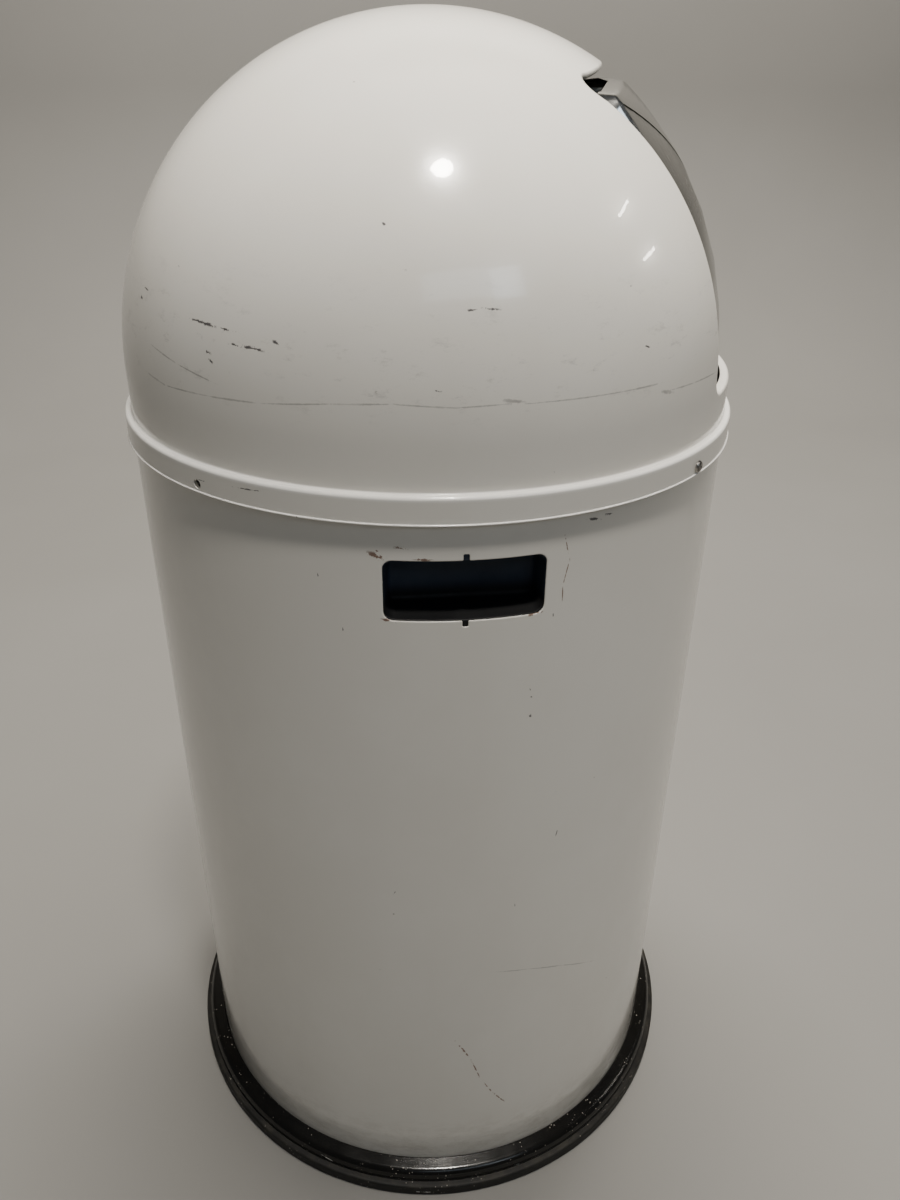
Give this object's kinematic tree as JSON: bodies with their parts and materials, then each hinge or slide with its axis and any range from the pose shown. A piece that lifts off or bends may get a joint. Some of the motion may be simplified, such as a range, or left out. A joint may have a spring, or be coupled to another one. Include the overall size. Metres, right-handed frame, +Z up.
{
  "type": "push-flap litter bin",
  "caption": "Free-standing round steel litter bin with a domed lift-off lid, a sprung push flap at the front, side hand holes and a loose inner bucket.",
  "frame": {"origin": "on the floor, at the centre of the round base", "axes": "+Z up along the bin's axis, -Y towards the push flap, the two hand holes at -X and +X"},
  "size_m": [0.4, 0.4, 0.755],
  "materials": {
    "white_enamel": "warm white gloss enamel, scuffed",
    "polished_steel": "polished stainless steel",
    "black_plastic": "satin black moulding, dusty",
    "cup_plastic": "dark moulded plastic",
    "galvanised_steel": "galvanised sheet",
    "zinc_steel": "zinc plated",
    "rivet_steel": "plain steel, dulled",
    "spring_steel": "drawn spring wire",
    "nylon": "natural nylon",
    "rubber": "moulded rubber"
  },
  "bodies": {
    "body": {"body_shell": "white_enamel", "bottom_plate": "galvanised_steel", "bottom_angle": "galvanised_steel", "base_ring": "black_plastic", "grip_cup_left": "cup_plastic", "grip_cup_right": "cup_plastic"},
    "lid": {"lid_dome": "white_enamel", "lid_glides": "nylon", "lid_rivets": "rivet_steel", "hinge_bracket_left": "zinc_steel", "hinge_bracket_right": "zinc_steel", "hinge_rod": "zinc_steel", "rod_clips": "zinc_steel", "stop_pads": "rubber", "torsion_spring_left": "spring_steel", "torsion_spring_right": "spring_steel"},
    "flap": {"flap_panel": "polished_steel", "flap_tab_left": "zinc_steel", "flap_tab_right": "zinc_steel", "hinge_bushes": "nylon"},
    "liner": {"liner_bucket": "galvanised_steel", "liner_bottom": "galvanised_steel", "liner_ears": "galvanised_steel", "ear_rivets": "rivet_steel"},
    "bail": {"liner_bail": "zinc_steel", "bail_grip": "cup_plastic"}
  },
  "joints": [
    {"name": "lid_lift", "type": "slide", "parent": "body", "child": "lid", "axis": [0, 0, 1], "range_m": [0, 0.3]},
    {"name": "flap_hinge", "type": "hinge", "parent": "lid", "child": "flap", "pos_m": [0, -0.088, 0.712], "axis": [1, 0, 0], "range_deg": [0, 50], "stiffness_Nm_per_rad": 0.12, "springref_deg": -143.24, "deforming": ["torsion_spring_left", "torsion_spring_right"]},
    {"name": "liner_lift", "type": "slide", "parent": "body", "child": "liner", "axis": [0, 0, 1], "range_m": [0, 0.045]},
    {"name": "bail_swing", "type": "hinge", "parent": "liner", "child": "bail", "pos_m": [0, 0, 0.531], "axis": [0, -1, 0], "range_deg": [0, 180]}
  ]
}
